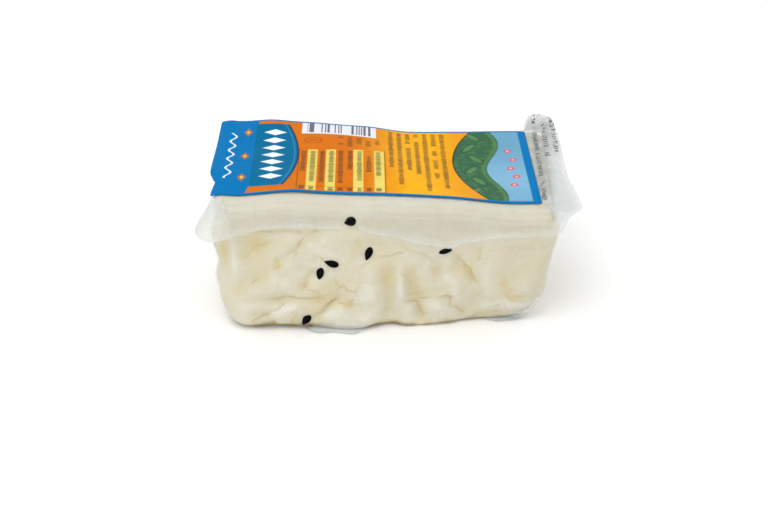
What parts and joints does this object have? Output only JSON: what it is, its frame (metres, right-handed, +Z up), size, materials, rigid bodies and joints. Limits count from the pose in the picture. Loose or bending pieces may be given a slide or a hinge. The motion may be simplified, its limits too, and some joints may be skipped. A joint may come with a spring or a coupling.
{
  "type": "vacuum pack of white cheese with black seeds",
  "caption": "Vacuum pack of white brined cheese with black seeds: tight clear pouch, lid film with a sealed edge, and a printed label.",
  "frame": {"origin": "middle of the whole pack's box, at the base it rests on", "axes": "+X along the pack's length, towards the end where the sealed edge stands out; -Y is the front with the wavy skirt of film; +Z up, label side up"},
  "size_m": [0.1172, 0.0712, 0.046],
  "materials": {
    "cheese_in_film": "creamy white cheese under tight, glossy clear film",
    "clear_film": "thick clear film, milky where it is sealed or creased",
    "label_print": "glossy printed film in orange, yellow, blue and green"
  },
  "bodies": {
    "root": {"cheese_pouch": "cheese_in_film", "lid_film": "clear_film", "label": "label_print"}
  },
  "joints": []
}
